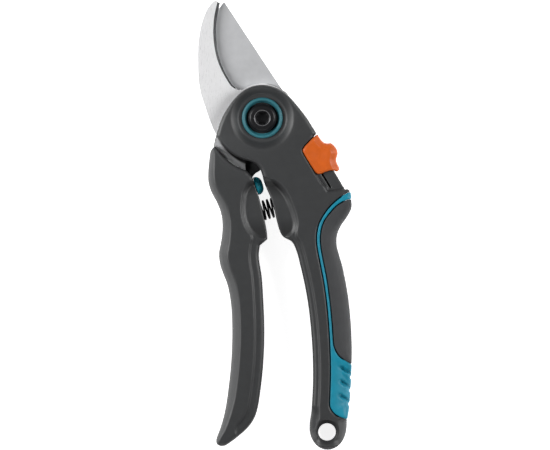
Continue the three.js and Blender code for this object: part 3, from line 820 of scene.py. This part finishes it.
def finish_of(name, colour, roughness, metallic=0.0, mottle=0.06, grain=0.3, depth=0.006,
              stretch=(1, 1, 1), turn=0.0, shade=None, **extra):
    """A material with uneven colour, uneven roughness and a fine grain."""
    material, tree, shader = nodes_of(name)
    cloudy = noise(tree, 4.0)
    fine = noise(tree, grain, stretch, turn)
    dark, light = ([min(1, c * (1 + side * mottle)) for c in linear(colour)[:3]] + [1] for side in (-1, 1))
    tinted = blended(tree, spread(tree, cloudy, 0, 1), dark, light)
    feed(tree, shader, {
        "Base Color": shade(tree, tinted) if shade else tinted,
        "Roughness": spread(tree, fine, roughness - ROUGH_SPREAD, roughness + ROUGH_SPREAD),
        "Metallic": metallic,
        "Normal": bumped(tree, (fine, depth), (noise(tree, grain * 4, stretch, turn), depth * 1.5)),
        **{key.replace("_", " "): value for key, value in extra.items()},
    })
    return material


ROUGH_SPREAD = 0.06
ACROSS = (1, 40, 1)  # grinding marks: long in one direction in the plan
FINISHES = {
    # the body's finish carries painted shade in the scoops beside the spring
    "body": finish_of("moulded_body", (46, 47, 48), 0.48, grain=0.28, depth=0.008, shade=painted_hollow_shade),
    "soft_grip": finish_of("soft_touch_grip", (46, 47, 49), 0.68, grain=0.22, depth=0.012, Sheen_Weight=0.12),
    "trim": finish_of("soft_trim_teal", (9, 124, 148), 0.5, grain=0.22, depth=0.009, Specular_IOR_Level=0.35),
    # a lighter copy of the trim's teal, which paints in light on the bumper's shaded dome
    "bumper": finish_of("bumper_teal_painted_light", (30, 158, 180), 0.5, grain=0.22, depth=0.009, Specular_IOR_Level=0.35),
    "slide": finish_of("slide_orange", (192, 87, 26), 0.4, Specular_IOR_Level=0.3),
    "counter_steel": finish_of("ground_steel", (249, 249, 250), 0.32, 0.4, mottle=0.02, grain=0.09,
                               depth=0.0008, stretch=ACROSS, turn=0.25),
    # the coated blade's finish carries painted shade on its tang, under the head
    "coated_steel": finish_of("coated_blade_steel", (208, 209, 211), 0.34, 0.4, mottle=0.035, grain=0.06,
                              depth=0.0008, stretch=ACROSS, turn=-0.5, shade=painted_tang_shade),
    "black_steel": finish_of("blackened_steel", (30, 30, 32), 0.36, 0.4, grain=0.2, depth=0.004),
    # a lighter steel that paints a highlight on the rim of the bolt's socket
    "rim_highlight": finish_of("socket_rim_painted_highlight", (120, 120, 122), 0.4, 0.4, grain=0.2, depth=0.003),
    "zinc_steel": finish_of("zinc_plated_steel", (186, 188, 192), 0.32, 1.0, depth=0.003),
    "ring": finish_of("pivot_ring_teal", (36, 98, 108), 0.5, grain=0.2),
    "spring_black": finish_of("blackened_wire", (22, 22, 24), 0.4, 0.5, grain=0.2, depth=0.004),
    # dark steel on the counter blade's ground bevel: a painted dark reflection
    "bevel_painted_dark": finish_of("bevel_painted_dark", (44, 45, 47), 0.5, 0.5, mottle=0.08, grain=0.08, depth=0.002,
                              stretch=ACROSS, turn=0.25),
    "bronze": finish_of("bearing_bronze", (176, 136, 80), 0.36, 1.0, grain=0.15, depth=0.004),
}

# ---------- fixed handle and its soft mouldings

body_loop = smooth(section("fixed_handle", SECTION)[0])
soft_loops = {name: smooth(section(name, SECTION)[0]) for name in ("soft_trim", "soft_grip")}


def closed_edge(loops):
    """Signed distance from the outline of neighbouring regions, as if the seams between them were filled."""
    fields = [signed([loop]) for loop in loops]
    kept = []
    for i, loop in enumerate(loops):
        others = [f for k, f in enumerate(fields) if k != i]
        for a, b, normal in faced(loop):
            beyond = (a + b) / 2 + 0.45 * normal
            if all(at(f, *beyond) > 0 for f in others):
                kept.append((a, b))
    d = distance(kept)
    least = minimum.reduce(fields)
    within = (least < 0) | ((least < 0.25) & (d > 0.25))
    return np.where(within, -d, d)


def groove_depths():
    """Three wedge-shaped grooves in the trim's lower patch, deepening towards the scallops in its edge."""
    depth = np.zeros((len(GRID_X), len(GRID_Y)))
    for start, end in GROOVES:
        t, off = along_segment(PLAN_X, PLAN_Y, np.array(start), np.array(end))
        deepest = GROOVE_DEPTH * ease(t / 0.3 + 0.1) * (1 - 0.3 * ease(2 * t - 1))
        depth = maximum(depth, deepest * (1 - ease(off / GROOVE_WIDTH)))
    return depth


FIXED_EDGE = closed_edge([body_loop, *soft_loops.values()])
TRIM = region(soft_loops["soft_trim"], FIXED_EDGE)
GRIP = region(soft_loops["soft_grip"], FIXED_EDGE)
SOFT_REGION = minimum(TRIM, GRIP)
FIXED_REAR = signed([smooth(section("fixed_handle", -SECTION)[0])])
FIXED_SCOOP = scoop_region("fixed_handle", body_loop, FIXED_EDGE)
fixed_inner = distance(facing(body_loop, -1, *FIXED_INNER_Y))
FIXED_HEIGHT = HALF - inner_drop(fixed_inner, FIXED_BAND, FIXED_SCOOP)
FIXED_HEIGHT = FIXED_HEIGHT - groove_depths() - SOFT_CROWN * np.clip(-SOFT_REGION / 9, 0, 1.2) ** 2
END_SHARE = ease((END_BAND_Y - PLAN_Y) / 8) * ease((PLAN_Y - END_FOOT_Y) / 5)
END_SHARE = END_SHARE * ease(SOFT_REGION / 2)
FIXED_HEIGHT = FIXED_HEIGHT - END_SLOPE * END_SHARE * rounded(END_BAND + FIXED_EDGE, 0, 0.6)
FIXED_ROUND = HEAD_EDGE + (SOFT_EDGE - HEAD_EDGE) * ease(-SOFT_REGION / 4)
FIXED_ROUND = FIXED_ROUND - SCOOP_ROUND * ease(-FIXED_SCOOP / 3)
COUNTER = signed([smooth(section("counter_blade", COUNTER_SECTION)[0])])

slide_loop = smooth(section("lock_slide", SLIDE_SECTION)[0], 0.4)
SLIDE_EDGE = signed([slide_loop])
SLIDE_LOW, SLIDE_HIGH = box("lock_slide")
SLIDE_SWEEP = SLIDE_EDGE  # the plan that the slide covers over its whole travel
for travel in np.arange(0.5, SLIDE_TRAVEL + 0.1, 0.5):
    ahead = at(SLIDE_EDGE, PLAN_X - travel * TRACK_AXIS[0], PLAN_Y - travel * TRACK_AXIS[1])
    SLIDE_SWEEP = minimum(SLIDE_SWEEP, ahead)


def fixed_envelope(x, y, z):
    flat = np.abs(z) - at(FIXED_HEIGHT, x, y)
    return rounded(at(FIXED_EDGE, x, y), flat, at(FIXED_ROUND, x, y))


def fixed_core(x, y, z):
    """The handle's own material that runs on under the soft mouldings."""
    return maximum(at(FIXED_EDGE, x, y) + SOFT_SKIN, np.abs(z) - CORE_HALF)


def seam(x, y, general, outer):
    """Half of a seam, which closes towards the outer edge, where the core doesn't reach."""
    return general + (outer - general) * ease((at(FIXED_EDGE, x, y) + SOFT_SKIN + 1.5) / 1.5)


def track_recess(x, y, z):
    """The recess that the slide runs in, with an open ramp all round its lower part."""
    u, v = in_track(x, y)
    low = maximum(maximum(TRACK_START - u, TRACK_V - v), u - TRACK_END - TRACK_LEAN * (v - TRACK_V))
    floor = TRACK_FACE + (HALF - TRACK_FACE) * ease(1 + low / TRACK_RAMP)
    swept = maximum(at(SLIDE_SWEEP, x, y) - 0.4, TRACK_FACE - np.abs(z))
    return minimum(maximum(low, floor - np.abs(z)), swept)


def lock_slots(x, y, z):
    place = (*in_track(x, y), z)
    return minimum.reduce([block(place, *corners) for corners in LOCK_SLOTS])


def pivot_recess(x, y, z):
    """The dished face round the bolt, as a field that is negative in the space it leaves."""
    r = hypot(x, y)
    share = np.clip(slope((r - BOWL_FLOOR_R) / (BOWL_R - BOWL_FLOOR_R)), 0, 1)
    dish = BOWL_FLOOR + (HALF + 0.1 - BOWL_FLOOR) * (1 - (1 - share) ** BOWL_BEND)
    bowl = maximum(dish - z, r - BOWL_R - 0.4)
    return minimum.reduce([bowl, *(maximum(r - radius, floor - z) for radius, floor in PIVOT_STEPS)])


hang_loop = [l for l in section("fixed_handle", SECTION) if perimeter(l) < 40 and l[:, 1].mean() < -140][0]
HANG_AT = (hang_loop.max(0) + hang_loop.min(0)) / 2
HANG_R = (hang_loop[:, 0].max() - hang_loop[:, 0].min()) / 2


def hang_hole(x, y, z):
    r = hypot(x - HANG_AT[0], y - HANG_AT[1])
    chamfer = maximum(0, np.abs(z) - HALF + HANG_CHAMFER)
    return r - HANG_R - 0.8 * chamfer


def fixed_handle(x, y, z):
    whole = fixed_envelope(x, y, z)
    shell = rounded(whole, seam(x, y, *SEAM_BODY) - at(SOFT_REGION, x, y), SEAM_EDGE)
    f = minimum(shell, maximum(whole, fixed_core(x, y, z)))
    f = maximum(f, minimum(REAR_FACE - z, at(FIXED_REAR, x, y)))
    f = maximum(f, -maximum(at(COUNTER, x, y) - CLEARANCE, between(z, *COUNTER_SLOT)))
    f = rounded(f, -pivot_recess(x, y, z), RIM_EDGE)
    f = rounded(f, -hang_hole(x, y, z), RIM_EDGE)
    f = rounded(f, -track_recess(x, y, z), TRACK_EDGE)
    f = maximum(f, -lock_slots(x, y, z))
    f = maximum(f, -screw_holes(x, y, z, "counter_blade"))
    return maximum(f, -spring_pocket(x, y, z))


def soft_shell(x, y, z, part):
    f = rounded(fixed_envelope(x, y, z), at(part, x, y) + seam(x, y, *SEAM_SOFT), SEAM_EDGE)
    f = rounded(f, -track_recess(x, y, z), TRACK_EDGE)
    return maximum(f, CLEARANCE - fixed_core(x, y, z))


skinned("handle_body_fixed", "fixed_handle", fixed_handle, HANDLE_STEP, "fixed_side", "body")
for node, part, finish in (("soft_trim", TRIM, "trim"), ("soft_grip", GRIP, "soft_grip")):
    skinned(f"{node}_skin", node, partial(soft_shell, part=part), SOFT_STEP, "fixed_side", finish)

# ---------- moving handle

grip_loop = smooth(section("moving_handle", SECTION)[0])
MOVING_EDGE = signed([grip_loop])
MOVING_WEB = signed([smooth(section("moving_handle", -SECTION)[0])])
MOVING_SCOOP = scoop_region("moving_handle", grip_loop, MOVING_EDGE)
moving_inner = distance(facing(grip_loop, 1, *MOVING_INNER_Y))
moving_palm = distance(facing(grip_loop, -1, *PALM_Y))
palm_band = np.interp(GRID_Y, *zip(*PALM_BAND))[None, :]
MOVING_HEIGHT = HALF - inner_drop(moving_inner, MOVING_BAND, MOVING_SCOOP)
MOVING_HEIGHT = MOVING_HEIGHT - PALM_SLOPE * rounded(palm_band - moving_palm, 0, 0.4)
MOVING_ROUND = HEAD_EDGE - SCOOP_ROUND * ease(-MOVING_SCOOP / 3)
CUTTER = signed([smooth(section("cutting_blade", CUTTER_SECTION)[0])])


def moving_handle(x, y, z):
    grip = rounded(at(MOVING_EDGE, x, y), np.abs(z) - at(MOVING_HEIGHT, x, y), at(MOVING_ROUND, x, y))
    f = minimum(grip, rounded(at(MOVING_WEB, x, y), between(z, -HALF, HUB_FACE), 0.8))
    f = maximum(f, -maximum(at(CUTTER, x, y) - 0.25, between(z, HUB_FACE, TANG_TOP)))
    r = hypot(x, y)
    f = maximum(f, HUB_BORE_R - r)
    f = rounded(f, -maximum(r - HUB_SEAT[0], z - HUB_SEAT[1]), 0.3)
    f = maximum(f, -screw_holes(x, y, z, "cutting_blade"))
    f = rounded(f, -bumper_seat(x, y, z), 0.4)
    return maximum(f, -spring_pocket(x, y, z))


def bumper_seat(x, y, z):
    """A hole for the bumper's stem, and a notch open to both faces round its dome."""
    s, r = along(BUMPER_AT, BUMPER_AXIS, x, y, z)
    _, side = along(BUMPER_AT, BUMPER_AXIS, x, y, 0)
    back = BUMPER_LENGTH / 2 - BUMPER_DOME - 0.05
    notch = rounded(side - BUMPER_R - 0.05, back - s, 0.3)
    return minimum(r - 2.4, notch)


skinned("handle_body_moving", "moving_handle", moving_handle, HANDLE_STEP, "moving_side", "body")

# ---------- blades


def build_blade(node, levels, body, finish, bevel=None):
    """A blade lofted through (height, outline) levels. `bevel` is the finish of its ground edge, painted dark
    as a stand-in for the dark reflection there.
    """
    low, high = levels[0][0], levels[-1][0]
    holes = [smooth(loop, 0.5) for loop in section(node, (low + high) / 2)[1:]]
    tubes = [[raised(inset(hole, 0.12), low), raised(hole, low + 0.12), raised(hole, high - 0.12),
              raised(inset(hole, 0.12), high)] for hole in holes]
    points, faces = loft([[raised(loop, z) for z, loop in levels], *tubes])
    blade = piece(f"{node}_steel", node, points, faces, body, finish, sharp=25)
    if bevel:
        blade.data.materials.append(FINISHES[bevel])
        for face in blade.data.polygons:
            # the steep ground faces take the dark finish, a painted reflection
            ground = 0.15 < face.normal.z < 0.97 and face.normal.x > 0.1 and face.center.y > 12 * MM
            face.material_index = 1 if ground else 0


def outlines(node, at_shear, at_face):
    """A blade's full outline, the matching places round its ground face, and the heights of its faces."""
    full = smooth(section(node, at_shear)[0], 0.5)
    ground = nearest(full, smooth(section(node, at_face)[0], 0.5))
    return full, ground, *upright(node)[1:]


# The counter blade is full at the shear plane, and its bevel is on the front.
full, ground, low, high = outlines("counter_blade", COUNTER_SECTION, 3.25)
levels = [(low, inset(full, 0.06)), (low + 0.08, full), (low + 0.5, full),
          (high - 0.16, ground + 0.05 * (full - ground)), (high, inset(ground, 0.16))]
build_blade("counter_blade", levels, "fixed_side", "counter_steel", "bevel_painted_dark")
# The cutting blade is ground on its hidden rear.
full, ground, low, high = outlines("cutting_blade", CUTTER_SECTION, -3.05)
levels = [(low, inset(ground, 0.14)), (low + 0.14, ground + 0.05 * (full - ground)), (high - 0.3, full),
          (high - 0.08, full), (high, inset(full, 0.06))]
build_blade("cutting_blade", levels, "moving_side", "coated_steel")

# ---------- pivot


def lobed(r, z, angles):
    """The bolt's six-lobed socket below its round rim."""
    inside_socket = r < 3.4 and z > 4
    return r * (1 - 0.085 * (1 - np.cos(6 * angles))) if inside_socket else r


def flats(across, angles):
    """Radius of a hexagon by the angle from one of its corners."""
    return across / np.cos(angles % (math.pi / 3) - math.pi / 6)


def hexagonal(r, z, angles, across):
    """A hexagonal nut, round where its profile is narrow."""
    flat = flats(across, angles - math.radians(15))
    return minimum(r, flat) if r > across * 0.8 else r


def hex_socket(r, z, angles, across):
    """A hexagonal socket in a round head."""
    flat = flats(across, angles)
    return minimum(flat, flat * r / across) if r < across * 1.02 else r


def turned_piece(node, kind, profile, edge, count, finish, sharp, slot=None, reach=None, body="fixed_side",
                 place=(0, 0, 0)):
    """A piece turned about Z, moved to its place."""
    points, faces = turned(eased(profile, edge), count, reach)
    return piece(f"{node}_{kind}", node, points + place, faces, body, finish, slot, sharp)


# The bolt, whose socket's rim is painted lighter as a highlight.
head, end, top = upright("pivot_bolt")
stem, seat, socket = 4.0, top - 3.6, top - 3.0
profile = [(0, end), (stem - 0.5, end), (stem, end + 0.5), (stem, seat), (head, seat), (head, top - 1.1),
           (head - 1.1, top - 0.05), (4.2, top), (3.8, top), (3.55, top - 0.3), (3.3, top - 0.45),
           (3.2, top - 0.7), (3.2, socket), (0, socket)]
bolt = turned_piece("pivot_bolt", "steel", profile, 0.25, 144, "black_steel", 35, reach=lobed)
bolt.data.materials.append(FINISHES["rim_highlight"])
for face in bolt.data.polygons:
    if RIM_HIGHLIGHT_R[0] < math.hypot(face.center.x, face.center.y) / MM < RIM_HIGHLIGHT_R[1] and face.normal.z > 0.2:
        face.material_index = 1

# The ring round its head, hollowed towards the bolt.
out, bottom, top = upright("pivot_ring")
profile = [(out - 2.3, bottom), (out, bottom), (out, top - 0.5), (out - 0.5, top), (out - 1.2, top),
           (out - 1.7, top - 0.6), (out - 1.9, bottom + 0.6), (out - 2.3, bottom + 0.4)]
turned_piece("pivot_ring", "trim", profile, 0.3, 144, "ring", 60, slot="trim")

# Two plain sleeves.
for node, finish, bore in (("pivot_bush", "bronze", 4.1), ("thrust_washer", "zinc_steel", 4.3)):
    r, low, high = upright(node)
    profile = [(bore, low), (r, low), (r, high), (bore, high)]
    turned_piece(node, "turned", profile, 0.15, 96, finish, 40)

# A shallow cone.
r, low, high = upright("disc_spring")
profile = [(4.4, low), (5.0, low), (r, high - 0.5), (r, high), (r - 0.6, high), (4.4, low + 0.5)]
turned_piece("disc_spring", "steel", profile, 0.1, 96, "zinc_steel", 40)

# The nut, with its hexagon's corners chamfered.
_, low, high = upright("pivot_nut")
profile = [(4.1, low), (6.5, low), (7.6, low + 0.6), (7.6, high - 0.6), (6.7, high), (4.1, high)]
turned_piece("pivot_nut", "steel", profile, 0.12, 144, "black_steel", 35,
             reach=partial(hexagonal, across=6.5))

# The blades' screws, with hexagonal sockets in the rear.
for body, blade in (("fixed_side", "counter_blade"), ("moving_side", "cutting_blade")):
    for node in (f"{blade}_screw_1", f"{blade}_screw_2"):
        x, y, _ = sum(box(node)) / 2
        r, low, high = upright(node)
        neck = low + 1.9
        profile = [(0, low + 1.3), (1.5, low + 1.3), (1.5, low + 0.12), (1.9, low), (r - 0.5, low),
                   (r, low + 0.5), (r, neck), (1.7, neck), (1.7, high - 0.6), (1.0, high), (0, high)]
        turned_piece(node, "steel", profile, 0.15, 72, "zinc_steel", 35, body=body, place=(x, y, 0),
                     reach=partial(hex_socket, across=1.5))

# ---------- spring, bumper and lock


def along_axis(points, at_point, axis):
    """Points about +Z, laid along a level axis through a point."""
    x, y, z = points.T
    across = (-axis[1], axis[0])
    return np.column_stack([at_point[i] + z * axis[i] + x * across[i] for i in (0, 1)] + [y])


# The spring, a round wire swept along a helix.
radius = (box("return_spring")[1][2] - box("return_spring")[0][2]) / 2 - WIRE_R
reach = SPRING_LENGTH / 2 - WIRE_R
steps = SPRING_TURNS * 40
t = np.linspace(0, 1, steps + 1)
angle = 2 * math.pi * SPRING_TURNS * t
centre = np.column_stack([radius * np.sin(angle), radius * np.cos(angle), reach * (2 * t - 1)])
out = centre * (1, 1, 0) / radius
ahead = np.gradient(centre, axis=0)
ahead /= norm(ahead, axis=1)[:, None]
side = np.cross(ahead, out)
around = np.arange(WIRE_SIDES) * 2 * math.pi / WIRE_SIDES
rings = (centre[:, None] + WIRE_R * (np.cos(around)[None, :, None] * out[:, None]
         + np.sin(around)[None, :, None] * side[:, None])).reshape(-1, 3)
end = len(rings)
faces = [range(WIRE_SIDES)[::-1], range(end - WIRE_SIDES, end), *wall(0, end, WIRE_SIDES)]
points = along_axis(rings, SPRING_AT, SPRING_AXIS)
spring = piece("return_spring_wire", "return_spring", points, faces, None, "spring_black", "black_steel", 60)
ends = [Vector((*(SPRING_AT + s * reach * SPRING_AXIS), SHEAR)) * MM for s in (-1, 1)]
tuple(ends[0])
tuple(ends[1])
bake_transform(spring)

# The bumper, a domed head on a stem.
half, r = BUMPER_LENGTH / 2, BUMPER_R
stem, back = r - 2.0, half - BUMPER_DOME
profile = [(0, -half), (stem - 0.4, -half), (stem, -half + 0.5), (stem, back), (r, back), (r, back + 1.2),
           (r - 0.35, half - 1.6), (r - 1.1, half - 0.75), (r - 2.3, half - 0.15), (0, half)]
points, faces = turned(eased(profile, 0.5), 72)
points = along_axis(points, BUMPER_AT, BUMPER_AXIS)
piece("bumper_dome", "bumper", points, faces, "moving_side", "bumper", "trim", 50)

# Distance from the slide's outer edge, where the thumb pushes.
SLIDE_THUMB = distance([(a, b) for a, b, normal in faced(slide_loop)
                        if normal @ TRACK_ACROSS > 0.35 and (a + b) @ TRACK_ACROSS / 2 > 18])


def lock_slide(x, y, z):
    """A saddle over the handle's edge. Its faces fall away towards the edge that the thumb pushes."""
    u, v = in_track(x, y)
    fall = SLIDE_FALL * maximum(0, SLIDE_BAND - at(SLIDE_THUMB, x, y))
    dish = 0.5 * (1 - ease(hypot(u - THUMB_DISH[0], v - THUMB_DISH[1]) / THUMB_DISH_R))
    f = rounded(at(SLIDE_EDGE, x, y), between(z, SLIDE_LOW[2], SLIDE_HIGH[2]) + fall + dish, 1.1)
    return maximum(rounded(f, -block((u, v, z), *SADDLE), 0.25), -block((u, v, z), *BAR_SLOT))


skinned("lock_slide_thumb", "lock_slide", lock_slide, SMALL_STEP, "lock", "slide")
for name in ("lock_bar", "lock_detent_spring"):
    materials = frame["nodes"][name].data.materials
    materials.clear()
    materials.append(FINISHES["zinc_steel"])

# ---------- stage


def add_light(name, kind, place, target, power, **values):
    """A light that looks from its place at a target, with other settings of its kind."""
    data = bpy.data.lights.new(name, kind)
    data.energy = power
    for key, value in values.items():
        setattr(data, key, value)
    light = placed(name, data)
    light.location = place
    light.rotation_euler = (target - place).to_track_quat("-Z", "Y").to_euler()


middle = (cad_low + cad_high) / 2

# A pale floor, which glows a little so that it stays white.
bpy.ops.mesh.primitive_plane_add(size=4, location=(middle.x, middle.y, cad_low.z))
floor = bpy.context.object
floor.name = "floor"
material, tree, shader = nodes_of("pale_floor")
feed(tree, shader, {"Base Color": (0.9, 0.9, 0.9, 1), "Roughness": 0.9, "Emission Color": (1, 1, 1, 1),
                    "Emission Strength": 0.85})
floor.data.materials.append(material)
floor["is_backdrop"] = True

# A dim studio with a brighter ceiling straight above.
world = bpy.data.worlds.new("studio")
bpy.context.scene.world = world
world.use_nodes = True
tree = world.node_tree
upward = add(tree, "SeparateXYZ", {0: add(tree, "TexCoord")["Generated"]})["Z"]
feed(tree, tree.nodes["Background"], {"Strength": ranged(tree, upward, CEILING, SKY_STRENGTH)})

# Soft lights from both sides and the near end, and a narrow one into the throat.
for name, place, wide, high, power in (
    ("left_light", (-0.55, 0.15, 0.4), 0.3, 0.45, 5.6),
    ("right_light", (0.55, 0.15, 0.4), 0.3, 0.45, 4.2),
    ("front_light", (0.0, -0.6, 0.4), 0.5, 0.3, 1.1),
):
    add_light(name, "AREA", middle + Vector(place), middle, power, shape="RECTANGLE", size=wide, size_y=high)
throat = Vector((*THROAT_AT, SHEAR)) * MM
add_light("throat_light", "SPOT", throat + 0.5 * Vector(THROAT_VIEW).normalized(), throat, 3.2,
          spot_size=math.radians(3.4), spot_blend=1.0, shadow_soft_size=0.01)

# The camera looks straight down on the front face.
data = bpy.data.cameras.new("camera")
data.lens, data.sensor_width = LENS, SENSOR
camera = placed("camera", data)
camera.location = (Vector(VIEW_CENTRE) + Vector((0, 0, VIEW_WIDTH * LENS / SENSOR))) * MM
bpy.context.scene.camera = camera
bpy.context.scene.view_settings.view_transform = "Standard"

low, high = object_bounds()
{"cad": [list(cad_low), list(cad_high)], "visual": [list(low), list(high)]}
